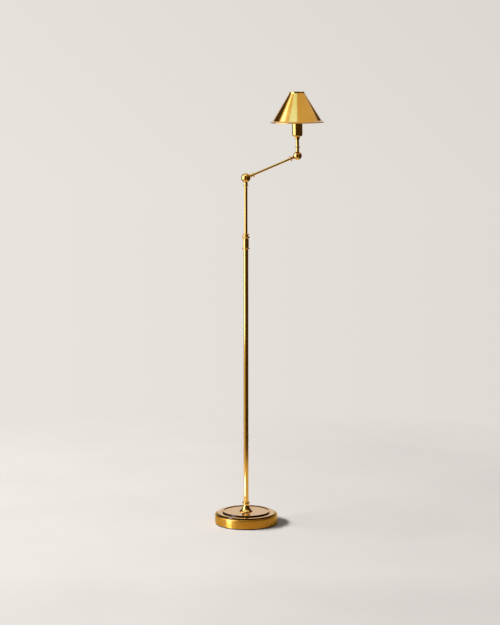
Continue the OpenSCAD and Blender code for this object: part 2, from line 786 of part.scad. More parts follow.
module mast_knuckle()
    color(brass) translate([0, 0, elbow_z]) rotate([0, 180, 0])
        knuckle_half(elbow_r, mast_neck_d / 2, elbow_rise - ring_t / 2, mast_ring_d / 2, upper_bore_r);

module elbow_screw() translate([0, 0, elbow_z]) pivot_screw(elbow_r);
module elbow_washer() translate([0, 0, elbow_z]) pivot_washer(elbow_r);
module elbow_spring_washer() translate([0, 0, elbow_z]) pivot_spring_washer(elbow_r);
module elbow_nut() translate([0, 0, elbow_z]) pivot_nut(elbow_r);
module elbow_friction_washer() translate([0, 0, elbow_z]) friction_washer();

// ---- Arm ----

// A small bead on an arm shank, close to the ball
module arm_bead(ball_r)
    translate([0, 0, ball_r + arm_bead_gap + arm_bead_t / 2]) bead(arm_bead_d / 2, arm_bead_t);

module arm_knuckle_inner()
    color(brass) in_arm() mirror([0, 1, 0]) rotate([0, 90, 0])
        knuckle_half(elbow_r, arm_neck_d / 2, elbow_ring_dist, arm_ring_d / 2, arm_bore_r)
            arm_bead(elbow_r);

module arm_tube()
    color(brass) in_arm() translate([arm_tube_start, 0, 0]) rotate([0, 90, 0])
        ring(arm_r, arm_bore_r, arm_tube_end - arm_tube_start);

module arm_knuckle_outer()
    color(brass) in_arm() translate([arm_len, 0, 0]) mirror([0, 1, 0]) rotate([0, -90, 0])
        knuckle_half(head_r, arm_neck_d / 2, head_ring_dist, arm_ring_d / 2, arm_bore_r)
            arm_bead(head_r);

// ---- Head ----

module head_knuckle()
    color(brass) in_head()
        knuckle_half(head_r, stem_r, stem_ring_dist, stem_ring_d / 2, stem_bore_r);

module head_screw() in_head() pivot_screw(head_r);
module head_washer() in_head() pivot_washer(head_r);
module head_spring_washer() in_head() pivot_spring_washer(head_r);
module head_nut() in_head() pivot_nut(head_r);
module head_friction_washer() in_head() friction_washer();

module stem_tube()
    color(brass) in_head() translate([0, 0, stem_foot]) ring(stem_r, stem_bore_r, stem_tube_len);

// Turned coupling between the stem and the cup, with a threaded spigot through the cup
module stem_coupling() {
    spigot_h = cup_wall + cup_nut_t + coupling_tail;
    color(brass) in_head() difference() {
        union() {
            translate([0, 0, coupling_foot])
                cylinder(d1 = coupling_foot_d, d2 = coupling_top_d, h = coupling_h);
            translate([0, 0, cup_foot]) cylinder(r = nipple_r, h = spigot_h);
        }
        translate([0, 0, coupling_foot - eps]) cylinder(r = stem_r, h = coupling_grip + eps);
        translate([0, 0, coupling_foot]) cylinder(d = wire_bore_d, h = coupling_h + spigot_h + eps);
    }
}

// Drawn cup with a rounded foot and a hole for the coupling's thread
module socket_cup() {
    in_r = cup_r - cup_wall;
    bend_r = cup_foot_r - cup_wall;
    outside = concat([[nipple_r, cup_foot]],
        arc(cup_r - cup_foot_r, cup_foot + cup_foot_r, cup_foot_r, cup_foot_r, -90, 0, arc_steps),
        [[cup_r, cup_rim], [in_r, cup_rim]]);
    inside = concat(
        arc(in_r - bend_r, cup_floor + bend_r, bend_r, bend_r, 0, -90, arc_steps),
        [[nipple_r, cup_floor]]);
    color(brass) in_head() rotate_extrude() polygon(concat(outside, inside));
}

module cup_locknut()
    color(steel) in_head() translate([0, 0, cup_floor]) hex_nut(cup_nut_af, nipple_r, cup_nut_t);

// Moulded socket body: a foot ring on the flat of the cup's floor, a barrel in the cup
// and a threaded neck over its rim
module socket_insulator() {
    foot_r = cup_r - cup_foot_r;
    foot_bore_r = hex_corner_r(cup_nut_af) + cup_nut_room;
    barrel_r = cup_r - cup_wall - insulator_gap;
    color("black") in_head() difference() {
        union() {
            translate([0, 0, cup_floor]) cylinder(r = foot_r, h = insulator_foot_h);
            translate([0, 0, insulator_floor]) cylinder(r = barrel_r, h = cup_rim - insulator_floor);
            translate([0, 0, insulator_floor]) cylinder(r = socket_neck_r, h = neck_top - insulator_floor);
        }
        translate([0, 0, cup_floor - eps]) cylinder(r = foot_bore_r, h = insulator_foot_h + eps);
        translate([0, 0, shell_foot]) cylinder(r = shell_r, h = shell_depth + eps);
        translate([0, 0, cup_floor]) cylinder(d = rivet_hole_d, h = shell_foot - cup_floor + eps);
    }
}

// Threaded shell that the bulb screws into, open at both ends
module screw_shell()
    color(satin_brass) in_head() translate([0, 0, shell_foot])
        ring(shell_r, shell_bore_d / 2, shell_depth - shell_wall);

// Sprung tongue under the bulb's tip, folded back over itself
module centre_contact()
    color(satin_brass) in_head() translate([0, contact_w / 2, shell_foot]) rotate([90, 0, 0])
        linear_extrude(contact_w) polygon([
            [-contact_w / 2, 0],
            [contact_w / 2, 0],
            [contact_w / 2, contact_h - contact_t],
            [-contact_w / 4, contact_h],
            [-contact_w / 4, contact_h - contact_t],
            [contact_w / 2 - contact_t, contact_h - 2 * contact_t],
            [contact_w / 2 - contact_t, contact_t],
            [-contact_w / 2, contact_t]]);

// ---- Shade ----

// Carrier: a hub on the cup's rim, and a hoop that the cone sits on. The spokes run from
// the middle of the hub to the middle of the hoop.
module shade_carrier() {
    hoop_foot = carrier_top - carrier_t;
    hoop_top = hoop_foot + hoop_h;
    foot_r = cone_bore_r(hoop_foot) - hoop_fit;
    top_r = cone_bore_r(hoop_top) - hoop_fit;
    spoke_start = hub_r - hub_w / 2;
    spoke_end = cone_bore_r(carrier_top) - hoop_fit - hoop_t / 2;
    color(satin_brass) in_head() {
        translate([0, 0, cup_rim]) ring(hub_r, socket_neck_r, carrier_t);
        for (i = [0 : spokes - 1]) rotate(i * 360 / spokes + spoke_turn)
            translate([spoke_start, -spoke_w / 2, cup_rim])
                cube([spoke_end - spoke_start, spoke_w, carrier_t]);
        rotate_extrude($fn = 180) polygon([
            [foot_r - hoop_t, hoop_foot],
            [foot_r, hoop_foot],
            [top_r, hoop_top],
            [top_r - hoop_t, hoop_top]]);
    }
}

module shade_ring_nut()
    color("black") in_head() translate([0, 0, carrier_top])
        ring(socket_neck_r + shade_nut_w, socket_neck_r, shade_nut_h);

// Spun cone with a flared, rolled lip and a short upright collar round the open top
module shade() {
    roll_r = roll_d / 2;
    roll_x = cone_foot_r + lip_w - roll_r;
    roll = arc(roll_x, cone_foot - lip_h, roll_r, roll_r, 90, roll_end_angle, curve_steps);
    lip_start = [cone_foot_r, cone_foot];
    lip_turn = [cone_foot_r + cone_slope * lip_bend_h, cone_foot - lip_bend_h];
    sheet = [cone_wall, 0];
    bend_z = cone_top + collar_bend_h;
    color(brass) in_head() rotate_extrude($fn = 180) polygon(concat(
        [[collar_r, shade_top],
        [collar_r, bend_z],
        [cone_top_r, cone_top]],
        bend(lip_start, lip_turn, roll[0], arc_steps),
        roll,
        bend(roll[curve_steps], lip_turn - sheet, lip_start - sheet, arc_steps),
        [[cone_top_r - cone_wall, cone_top],
        [collar_r - shade_t, bend_z - shade_t / 2],
        [collar_r - shade_t, shade_top]]));
}

// ---- Bulb ----

// Screw base: a tip on the contact, a tapered foot and the threaded barrel
module bulb_base() {
    base_radius = bulb_base_d / 2;
    tip_r = contact_w / 2;
    tip_h = base_radius - tip_r;
    color(steel) in_head() rotate_extrude() polygon([
        [0, bulb_foot],
        [tip_r, bulb_foot],
        [base_radius, bulb_foot + tip_h / 2],
        [base_radius, glass_foot],
        [0, glass_foot]]);
}

// Pear-shaped glass: a neck that swells into a round crown, open where its base closes it
module bulb_glass() {
    neck = bulb_base_d / 2;
    crown_z = glass_foot + bulb_h - bulb_r;
    swell = [for (i = [0 : curve_steps]) let (s = i / curve_steps)
        [neck + (bulb_r - neck) * (1 - cos(180 * s)) / 2, glass_foot + (crown_z - glass_foot) * s]];
    outside = concat(swell, arc(0, crown_z, bulb_r, bulb_r, 0, 90, curve_steps));
    inside = concat(
        arc(0, crown_z, bulb_r - bulb_t, bulb_r - bulb_t, 90, 0, curve_steps),
        [for (i = [curve_steps : -1 : 0]) swell[i] - [bulb_t, 0]]);
    color("white") in_head() rotate_extrude() polygon(concat(outside, inside));
}

felt_pad();
base_weight();
base_shell();
cord_grommet();
base_nipple();
base_washer();
base_locknut();
base_bell();
foot_bushing();
lower_tube();
collar_sleeve();
collet();
clamp_nut();
guide_bush();
upper_tube();
bush_retainers();
mast_knuckle();
elbow_screw();
elbow_washer();
elbow_spring_washer();
elbow_nut();
elbow_friction_washer();
arm_knuckle_inner();
arm_tube();
arm_knuckle_outer();
head_knuckle();
head_screw();
head_washer();
head_spring_washer();
head_nut();
head_friction_washer();
stem_tube();
stem_coupling();
socket_cup();
cup_locknut();
socket_insulator();
screw_shell();
centre_contact();
shade_carrier();
shade_ring_nut();
shade();
bulb_base();
bulb_glass();
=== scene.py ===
# %% [markdown]
# # A bridge floor lamp in aged brass
#
# The lamp is a weighted round base, a two-part pole with a collet clamp, an arm between two
# split-ball knuckles, and an upright head under a cone shade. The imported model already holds
# every part at its real size, so this lesson is about finish: how brass is coloured, brushed
# and lit, and which parts deserve a closer shape than a plain turned solid. The model arrives
# with plain placeholder materials. They are removed first, so that the finishes made here can
# have the names of the record's slots.

# %% Load the frame
import json
import math

import bpy
from mathutils import Matrix, Vector


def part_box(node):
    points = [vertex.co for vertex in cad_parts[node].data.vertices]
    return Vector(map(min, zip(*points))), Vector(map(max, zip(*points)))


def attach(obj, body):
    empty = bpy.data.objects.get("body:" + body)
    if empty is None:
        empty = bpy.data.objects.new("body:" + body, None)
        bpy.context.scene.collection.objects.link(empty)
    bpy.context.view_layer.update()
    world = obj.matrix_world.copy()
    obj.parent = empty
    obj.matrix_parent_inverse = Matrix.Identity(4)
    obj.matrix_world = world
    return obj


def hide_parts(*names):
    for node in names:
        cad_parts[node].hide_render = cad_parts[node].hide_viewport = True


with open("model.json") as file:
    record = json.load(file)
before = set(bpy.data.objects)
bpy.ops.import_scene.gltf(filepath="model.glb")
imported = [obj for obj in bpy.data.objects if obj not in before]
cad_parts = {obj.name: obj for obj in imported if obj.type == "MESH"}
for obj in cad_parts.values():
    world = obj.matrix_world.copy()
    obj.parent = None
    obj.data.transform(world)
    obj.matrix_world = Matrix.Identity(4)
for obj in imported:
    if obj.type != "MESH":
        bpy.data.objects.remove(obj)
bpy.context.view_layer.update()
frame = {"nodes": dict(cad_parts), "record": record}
nodes = frame["nodes"]
for placeholder in list(bpy.data.materials):
    bpy.data.materials.remove(placeholder)

# %% [markdown]
# ## Where things are
#
# The head leans a little and sits at the arm's tip, so its own axis is found from two turned
# parts on it: the middle of the stem tube and the middle of the shade lie on the same line.
# The pole and the base stand on the upright axis through the origin.

# %% Measure the lamp from its nodes
def centre(node):
    low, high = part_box(node)
    return (low + high) / 2


ORIGIN = (0, 0, 0)
POLE_AXIS = Vector((0, 0, 1))
HEAD_CENTRE = centre("stem_tube")
HEAD_AXIS = (centre("shade") - HEAD_CENTRE).normalized()
print("head axis:", [round(v, 4) for v in HEAD_AXIS])

# %% [markdown]
# ## The camera
#
# The photograph was taken with a long lens from about seven and a half metres, a little above
# the shade and looking down. The lens is worked out from the height of the picture in pixels,
# because the long side of the picture sets the field of view.

# %% Place the camera
PICTURE_HEIGHT = 625
FOCAL_PIXELS = 2006
SENSOR = 36.0
CAMERA_PLACE = Vector((0.0155, -7.67, 1.8733))
CAMERA_PITCH = math.radians(7.74)
CAMERA_ROLL = math.radians(-0.037)

bpy.ops.object.camera_add(location=CAMERA_PLACE)
camera = bpy.context.object
camera.data.sensor_width = SENSOR
camera.data.lens = FOCAL_PIXELS * SENSOR / PICTURE_HEIGHT
tilt = Matrix.Rotation(math.pi / 2 - CAMERA_PITCH, 4, "X")
roll = Matrix.Rotation(CAMERA_ROLL, 4, "Z")
camera.rotation_euler = (tilt @ roll).to_euler()
bpy.context.scene.camera = camera
print("lens:", round(camera.data.lens, 1), "mm")

# %% [markdown]
# ## Building materials from nodes
#
# A material is a small network of nodes. Each node has settings and input sockets, and a socket
# is either given a value or linked to another node's output. The helpers below hide that
# difference, so that a recipe reads from top to bottom.

# %% Helpers that make and fill nodes
def fill(tree, socket, value):
    """Links the socket to another node's output, or sets it to a number, vector or colour."""
    if isinstance(value, bpy.types.NodeSocket):
        tree.links.new(value, socket)
    else:
        socket.default_value = value


def add(tree, kind, **values):
    """A node of that kind; each value is one of its settings or fills the socket of that name."""
    made = tree.nodes.new(kind)
    for name, value in values.items():
        if hasattr(made, name):
            setattr(made, name, value)
        else:
            fill(tree, made.inputs[name.replace("_", " ")], value)
    return made


def new_material(name, **values):
    """A material with one Principled shader, whose uniform values are set on its sockets."""
    material = bpy.data.materials.new(name)
    material.use_nodes = True
    tree = material.node_tree
    shader = tree.nodes["Principled BSDF"]
    for socket, value in values.items():
        shader.inputs[socket.replace("_", " ")].default_value = value
    return material, tree, shader


# %% Helpers for sums on numbers and vectors
def calculate(tree, kind, operation, values):
    """A Math or Vector Math node whose sockets are filled in order."""
    made = add(tree, kind, operation=operation)
    for socket, value in zip(made.inputs, values):
        fill(tree, socket, value)
    return made


def maths(tree, operation, *values):
    return calculate(tree, "ShaderNodeMath", operation, values).outputs[0]


def vector_math(tree, operation, *values):
    """The result is a number for a dot product or a length, and else a vector."""
    made = calculate(tree, "ShaderNodeVectorMath", operation, values)
    return made.outputs["Value" if operation in ("DOT_PRODUCT", "LENGTH") else "Vector"]


def scaled(tree, vector, factor):
    made = add(tree, "ShaderNodeVectorMath", operation="SCALE", Vector=vector, Scale=factor)
    return made.outputs["Vector"]


# %% Helpers for patterns
def place(tree):
    return tree.nodes.new("ShaderNodeTexCoord").outputs["Object"]


def noise(tree, vector, scale, detail=3.0, roughness=0.55):
    made = add(tree, "ShaderNodeTexNoise", Vector=vector, Scale=scale, Detail=detail,
               Roughness=roughness)
    return made.outputs["Fac"]


def spread(tree, value, low, high, start=0.35, end=0.65):
    """Takes start to low and end to high; a noise mostly stays between 0.35 and 0.65."""
    made = add(tree, "ShaderNodeMapRange", Value=value, From_Min=start, From_Max=end,
               To_Min=low, To_Max=high)
    return made.outputs["Result"]


def blend_colour(tree, factor, first, second):
    made = add(tree, "ShaderNodeMix", data_type="RGBA", Factor=factor)
    fill(tree, made.inputs[6], first)
    fill(tree, made.inputs[7], second)
    return made.outputs[2]


# %% Helpers that put a pattern on the shader
def two_tones(tree, shader, pattern, first, second):
    tone = blend_colour(tree, spread(tree, pattern, 0, 1), first, second)
    fill(tree, shader.inputs["Base Color"], tone)


def gloss(tree, shader, pattern, low, high):
    fill(tree, shader.inputs["Roughness"], spread(tree, pattern, low, high))


def bump(tree, shader, height, distance, strength=1.0):
    made = add(tree, "ShaderNodeBump", Height=height, Strength=strength, Distance=distance)
    fill(tree, shader.inputs["Normal"], made.outputs["Normal"])


# %% [markdown]
# ## Spun and brushed metal
#
# A turned part is finished while it spins, so its scratches are rings round its own axis. The
# rings are drawn from two numbers that don't change along a ring: the distance from the axis
# and the height along it. The direction of the ring is the brushing direction, which stretches
# each reflection across the rings, up and down the part.

# %% A coordinate that follows the rings of a turned part
def ring_space(tree, axis_point, axis):
    """The vector round the axis, as long as the radius, and (radius, height) as a coordinate."""
    offset = vector_math(tree, "SUBTRACT", place(tree), axis_point)
    around = vector_math(tree, "CROSS_PRODUCT", axis, offset)
    radius = vector_math(tree, "LENGTH", around)
    height = vector_math(tree, "DOT_PRODUCT", offset, axis)
    rings = add(tree, "ShaderNodeCombineXYZ", X=radius, Y=height)
    return around, rings.outputs["Vector"]


def brushed(tree, shader, axis_point, axis, density, drift, depth):
    """Ring scratches as bump, and the brushing direction as the shader's tangent."""
    around, rings = ring_space(tree, axis_point, axis)
    heading = vector_math(tree, "NORMALIZE", around)
    swept = vector_math(tree, "ADD", scaled(tree, rings, density), scaled(tree, heading, drift))
    scratches = noise(tree, swept, 1.0, detail=4.0, roughness=0.7)
    tangent = add(tree, "ShaderNodeVectorTransform", Vector=around, vector_type="VECTOR",
                  convert_from="OBJECT", convert_to="WORLD")
    fill(tree, shader.inputs["Tangent"], tangent.outputs["Vector"])
    bump(tree, shader, scratches, depth)
    return scratches


# %% [markdown]
# ## Four brasses
#
# The lamp is one metal with several finishes: polished and lacquered on the tubes and balls,
# brushed rings on the wall of the base, a finer spin on the shade, and plain turned brass
# inside. Two close tones are mixed by a soft noise, because aged brass is never one flat
# colour. The lacquer is a clear coat over the metal.
#
# On the base, painted shade lies in thin dark rings along the flanks and feet of the steps,
# where those corners are in shade and mirror the dark boards, so it is a colour that depends on
# the radius.

# %% The brass tones
BRASS_LIGHT = (0.83, 0.43, 0.060, 1)
BRASS_DEEP = (0.77, 0.37, 0.035, 1)
BASE_LIGHT = (0.66, 0.29, 0.018, 1)
BASE_DEEP = (0.57, 0.235, 0.010, 1)
BASE_EDGE = (1.0, 0.93, 0.45, 1)
BRASS_RAW = (0.74, 0.50, 0.20, 1)
BRASS_TARNISH = (0.42, 0.27, 0.11, 1)


def brass_colour(tree, shader, light=BRASS_LIGHT, deep=BRASS_DEEP, scale=14.0):
    two_tones(tree, shader, noise(tree, place(tree), scale, detail=4.0), light, deep)


# %% Painted shade in the corners of the base
PAINTED_SHADE_TONE = (0.030, 0.018, 0.007, 1)
PAINTED_SHADE_TOP = 0.0497
BEAD_INNER_CORNER = (0.0883, 0.0004)
BEAD_OUTER_CORNER = (0.0924, 0.00045)
STEP_EDGE = (0.1135, 0.0005)
SHOULDER_CORNER = (0.1151, 0.0016)


def paint_corner_shade(tree, shader, *bands):
    """Paints shade as dark, dull rings below the bead's top, each a (radius, half width) in
    metres.
    """
    _, rings = ring_space(tree, ORIGIN, POLE_AXIS)
    spot = add(tree, "ShaderNodeSeparateXYZ", Vector=rings)
    found = 0.0
    for radius, half_width in bands:
        band = maths(tree, "COMPARE", spot.outputs["X"], radius, half_width)
        found = maths(tree, "MAXIMUM", found, band)
    low_enough = maths(tree, "LESS_THAN", spot.outputs["Y"], PAINTED_SHADE_TOP)
    where = maths(tree, "MULTIPLY", found, low_enough)
    # Painted shade: inside the rings the colour turns dark and the lacquer's coat is taken away.
    unshaded = shader.inputs["Base Color"].links[0].from_socket
    fill(tree, shader.inputs["Base Color"], blend_colour(tree, where, unshaded, PAINTED_SHADE_TONE))
    coat = shader.inputs["Coat Weight"]
    fill(tree, coat, spread(tree, where, coat.default_value, 0, start=0, end=1))


# %% Polished brass of the tubes, balls, collar, cup and disc
polished_brass, tree, shader = new_material(
    "polished_brass", Metallic=1.0, Coat_Weight=0.6, Coat_Roughness=0.06)
brass_colour(tree, shader)
wear = noise(tree, place(tree), 260.0, detail=5.0, roughness=0.7)
gloss(tree, shader, wear, 0.11, 0.17)
bump(tree, shader, wear, 0.000002, strength=0.2)
# Painted shade at both corners of the bead and at the step's edge.
paint_corner_shade(tree, shader, BEAD_INNER_CORNER, BEAD_OUTER_CORNER, STEP_EDGE)

# %% Brushed brass of the base's wall
base_brass, tree, shader = new_material(
    "base_brass", Metallic=1.0, Anisotropic=0.8, Anisotropic_Rotation=0.25, Coat_Weight=0.3,
    Coat_Roughness=0.3, Specular_Tint=BASE_EDGE)
brass_colour(tree, shader, BASE_LIGHT, BASE_DEEP, scale=9.0)
scratches = brushed(tree, shader, ORIGIN, POLE_AXIS, density=900.0, drift=1.2, depth=0.00002)
gloss(tree, shader, scratches, 0.24, 0.38)
# Painted shade where the shoulder meets the step.
paint_corner_shade(tree, shader, SHOULDER_CORNER)

# %% Spun brass of the shade
shade_brass, tree, shader = new_material(
    "shade_brass", Metallic=1.0, Anisotropic=0.5, Anisotropic_Rotation=0.25, Coat_Weight=0.5,
    Coat_Roughness=0.08)
brass_colour(tree, shader, scale=10.0)
scratches = brushed(
    tree, shader, HEAD_CENTRE, HEAD_AXIS, density=1100.0, drift=1.0, depth=0.0000005)
gloss(tree, shader, scratches, 0.13, 0.19)

# %% Plain turned brass of the inner parts
plain_brass, tree, shader = new_material("plain_brass", Metallic=1.0)
brass_colour(tree, shader, BRASS_RAW, BRASS_TARNISH, scale=40.0)
wear = noise(tree, place(tree), 500.0, detail=4.0)
gloss(tree, shader, wear, 0.28, 0.42)
bump(tree, shader, wear, 0.00004, strength=0.5)
print("brasses:", [m.name for m in (polished_brass, base_brass, shade_brass, plain_brass)])

# %% [markdown]
# ## The other finishes
#
# Steel hardware, a cast weight, felt, rubber, plastics and glass. Each one gets one grain at
# the scale of the real stuff, from the soft clouds of plated steel to the fine fibres of felt.
# Its colour follows that grain, and so do its gloss and its relief where it has them.

# %% A finish that follows one grain
def grained(name, first, second, scale, rough=None, relief=None, detail=3.0, coarseness=0.55,
            **values):
    """Rough is the (low, high) of its roughness, and relief the (distance, strength) of bump."""
    made, tree, shader = new_material(name, **values)
    grain = noise(tree, place(tree), scale, detail, coarseness)
    two_tones(tree, shader, grain, first, second)
    if rough:
        gloss(tree, shader, grain, *rough)
    if relief:
        bump(tree, shader, grain, *relief)
    return made


# %% Zinc-plated steel of screws, washers and nuts
zinc_steel = grained(
    "zinc_steel", (0.62, 0.62, 0.60, 1), (0.44, 0.44, 0.45, 1), scale=300.0,
    rough=(0.24, 0.38), relief=(0.00003, 0.4), Metallic=1.0)

# %% Cast iron of the weight
cast_iron = grained(
    "cast_iron", (0.055, 0.052, 0.050, 1), (0.11, 0.10, 0.095, 1), scale=700.0,
    rough=(0.55, 0.8), relief=(0.0004, 0.8), detail=6.0, coarseness=0.7, Metallic=0.6)

# %% Felt of the pad
# Black felt, painted darker than felt is, so that it also carries the shade under the base's wall.
felt = grained(
    "felt", (0.005, 0.005, 0.005, 1), (0.016, 0.015, 0.015, 1), scale=2600.0,
    relief=(0.0003, 0.9), detail=4.0, coarseness=0.8, Roughness=0.95, Sheen_Weight=0.1,
    Sheen_Roughness=0.6)


# %% Rubber, nylon, fibre and moulded plastic
def plastic(name, first, second, scale, rough, depth):
    """A moulded part: two close tones and a soft gloss on a fine grain."""
    return grained(name, first, second, scale, rough=(rough - 0.06, rough + 0.06),
                   relief=(depth, 0.6), detail=4.0)


rubber = plastic(
    "rubber", (0.018, 0.017, 0.016, 1), (0.030, 0.028, 0.026, 1),
    scale=900.0, rough=0.62, depth=0.00008)
nylon = plastic(
    "nylon", (0.62, 0.59, 0.50, 1), (0.70, 0.67, 0.58, 1),
    scale=400.0, rough=0.42, depth=0.00005)
fibre = plastic(
    "fibre", (0.16, 0.055, 0.030, 1), (0.22, 0.080, 0.045, 1),
    scale=1500.0, rough=0.70, depth=0.0001)
moulded_black = plastic(
    "moulded_black", (0.016, 0.015, 0.015, 1), (0.024, 0.023, 0.022, 1),
    scale=600.0, rough=0.34, depth=0.00004)

# %% Bulb cap and frosted glass
bulb_cap = grained(
    "bulb_cap", (0.70, 0.69, 0.66, 1), (0.58, 0.57, 0.55, 1), scale=350.0,
    rough=(0.18, 0.30), Metallic=1.0)
frosted_glass = grained(
    "frosted_glass", (0.84, 0.84, 0.82, 1), (0.88, 0.88, 0.86, 1), scale=900.0,
    rough=(0.30, 0.42), Subsurface_Weight=0.25, Subsurface_Scale=0.01, Coat_Weight=0.35,
    Coat_Roughness=0.12)
print("materials:", len(bpy.data.materials))

# %% [markdown]
# ## Give every node its finish
#
# The record says which slot each node has, and each slot has a material of the same name, so
# one loop dresses the whole frame.

# %% Dress the nodes
FINISHES = {
    made.name: made
    for made in (polished_brass, base_brass, shade_brass, plain_brass, zinc_steel, cast_iron,
                 felt, rubber, nylon, fibre, moulded_black, bulb_cap, frosted_glass)
}
for part in frame["record"]["subparts"]:
    node = nodes[part["node"]]
    node.data.materials.clear()
    node.data.materials.append(FINISHES[part["material_slot"]])

# %% [markdown]
# ## Turned pieces
#
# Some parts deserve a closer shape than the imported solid. Each is turned from a circle: the
# circle is extruded from ring to ring along a profile of radius and height in millimetres,
# the way a lathe tool runs along the work. Doubles are merged, normals recalculated and the
# smooth flanks kept apart from the sharp edges by their angle.

# %% Turn a piece on the lathe
MM = 0.001
MERGE_DISTANCE = 0.000002


def turned(name, profile, segments=160, closed=True):
    """Turns a profile of (radius, height) round Z; closed joins its ends, else they are capped."""
    bpy.ops.object.select_all(action="DESELECT")
    radius, height = profile[0]
    bpy.ops.mesh.primitive_circle_add(
        vertices=segments, radius=radius * MM, location=(0, 0, height * MM))
    made = bpy.context.object
    made.name = name
    made.data.name = name
    bpy.ops.object.mode_set(mode="EDIT")
    bpy.ops.mesh.select_all(action="SELECT")
    rest = profile[1:] + ([profile[0]] if closed else [])
    for next_radius, next_height in rest:
        step = (0, 0, (next_height - height) * MM)
        bpy.ops.mesh.extrude_edges_move(TRANSFORM_OT_translate={"value": step})
        grow = next_radius / radius
        bpy.ops.transform.resize(value=(grow, grow, 1))
        radius, height = next_radius, next_height
    bpy.ops.mesh.select_all(action="SELECT")
    bpy.ops.mesh.remove_doubles(threshold=MERGE_DISTANCE)
    if not closed:
        bpy.ops.mesh.fill_holes(sides=0)
    bpy.ops.mesh.select_all(action="SELECT")
    bpy.ops.mesh.normals_make_consistent(inside=False)
    bpy.ops.object.mode_set(mode="OBJECT")
    bpy.ops.object.transform_apply(location=True, rotation=True, scale=True)
    return made


# %% Cut and finish a piece
SMOOTH_ANGLE = math.radians(32)


def cut(piece, cutter):
    """Takes the cutter's shape out of the piece and deletes the cutter."""
    bpy.context.view_layer.objects.active = piece
    bpy.ops.object.modifier_add(type="BOOLEAN")
    knife = piece.modifiers[-1]
    knife.operation = "DIFFERENCE"
    knife.object = cutter
    bpy.ops.object.modifier_apply(modifier=knife.name)
    bpy.data.objects.remove(cutter)


def finish(piece, finish_name, body, replaced, point=None, axis=POLE_AXIS):
    """Stands the piece on its axis, smooths it, dresses it and hands it to its body."""
    bpy.ops.object.select_all(action="DESELECT")
    piece.select_set(True)
    bpy.context.view_layer.objects.active = piece
    if point is not None:
        turn_up = axis.to_track_quat("Z", "Y").to_matrix().to_4x4()
        piece.matrix_world = Matrix.Translation(point) @ turn_up
        bpy.ops.object.transform_apply(location=True, rotation=True, scale=True)
    bpy.ops.object.shade_smooth_by_angle(angle=SMOOTH_ANGLE)
    piece.data.materials.append(FINISHES[finish_name])
    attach(piece, body)
    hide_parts(replaced)
    print(piece.name, "triangles:", sum(len(face.vertices) - 2 for face in piece.data.polygons))


# %% [markdown]
# ## The base cover
#
# The cover is one spinning with two finishes: the wall and its rounded shoulder are brushed,
# and everything inside the shoulder is polished. Its steps are steep, so they reflect the dark
# boards past the pale flats beside them, and with painted shade at their edges they draw the two
# black rings of the base. The cord's grommet sits in a hole at the back of the wall.

# %% Brushed wall with its rounded shoulder
WALL_OUTER = 121.75
WALL_INNER = 120.55
WALL_FOOT = 4.0
WALL_TOP = 34.6
STEP_OUTER = 113.5
STEP_FOOT = 37.1
HOLE_RADIUS = 5.5
HOLE_DEPTH = 20
HOLE_HEIGHT = 14

wall = turned("base_wall", [
    (WALL_OUTER, WALL_FOOT), (WALL_OUTER, 20.0), (WALL_OUTER, WALL_TOP), (121.5, 36.2),
    (120.8, 37.5), (119.6, 38.4), (118.0, 38.8), (116.5, 38.7), (114.4, 38.3),
    (STEP_OUTER, 38.3), (STEP_OUTER, STEP_FOOT), (118.0, 37.4), (119.4, 36.7), (120.3, 35.6),
    (WALL_INNER, WALL_TOP), (WALL_INNER, WALL_FOOT)])
bpy.ops.object.select_all(action="DESELECT")
bpy.ops.mesh.primitive_cylinder_add(
    vertices=48, radius=HOLE_RADIUS * MM, depth=HOLE_DEPTH * MM,
    location=(0, WALL_OUTER * MM, HOLE_HEIGHT * MM), rotation=(math.pi / 2, 0, 0))
cut(wall, bpy.context.object)
finish(wall, "base_brass", "base", "base_shell")

# %% Polished step, beaded rim and disc
STEP_INNER = 112.3
BEAD_MIDDLE = 90.3
BEAD_TOP = 50.3
DISC_TOP = 47.5
DISC_UNDER = 46.3
POLE_HOLE = 5.0

cover_top = turned("base_top", [
    (STEP_OUTER, STEP_FOOT), (STEP_OUTER, 42.4), (113.2, 43.3), (112.4, 43.9), (111.0, 44.2),
    (102.0, 44.7), (94.0, 44.5), (92.6, 44.3), (92.4, 48.6), (92.0, 49.5), (91.1, 50.1),
    (BEAD_MIDDLE, BEAD_TOP), (89.4, 50.1), (88.6, 49.5), (88.3, 48.6), (88.2, 47.2),
    (87.6, 47.1), (60.0, 47.3), (30.0, DISC_TOP), (POLE_HOLE, DISC_TOP),
    (POLE_HOLE, DISC_UNDER), (60.0, DISC_UNDER), (91.1, DISC_UNDER), (91.1, 43.3),
    (102.0, 43.5), (111.6, 43.0), (STEP_INNER, 42.2), (STEP_INNER, STEP_FOOT)])
finish(cover_top, "polished_brass", "base", "base_shell")

# %% [markdown]
# ## Screws and the bulb's cap
#
# The pivot screws show at the front of both balls, so they get domed, slotted heads in brass.
# The bulb's cap gets the rounded thread of a household bulb.

# %% Domed screws of the two knuckles
SCREW_RADIUS = 2.0
SCREW_CHAMFER = 0.3
HEAD_RADIUS = 4.2
HEAD_HEIGHT = 2.6
HEAD_EDGE = 0.9
SLOT_WIDTH = 1.1
SLOT_DEPTH = 1.2
CUTTER_HEIGHT = 2
FRONT = Vector((0, -1, 0))


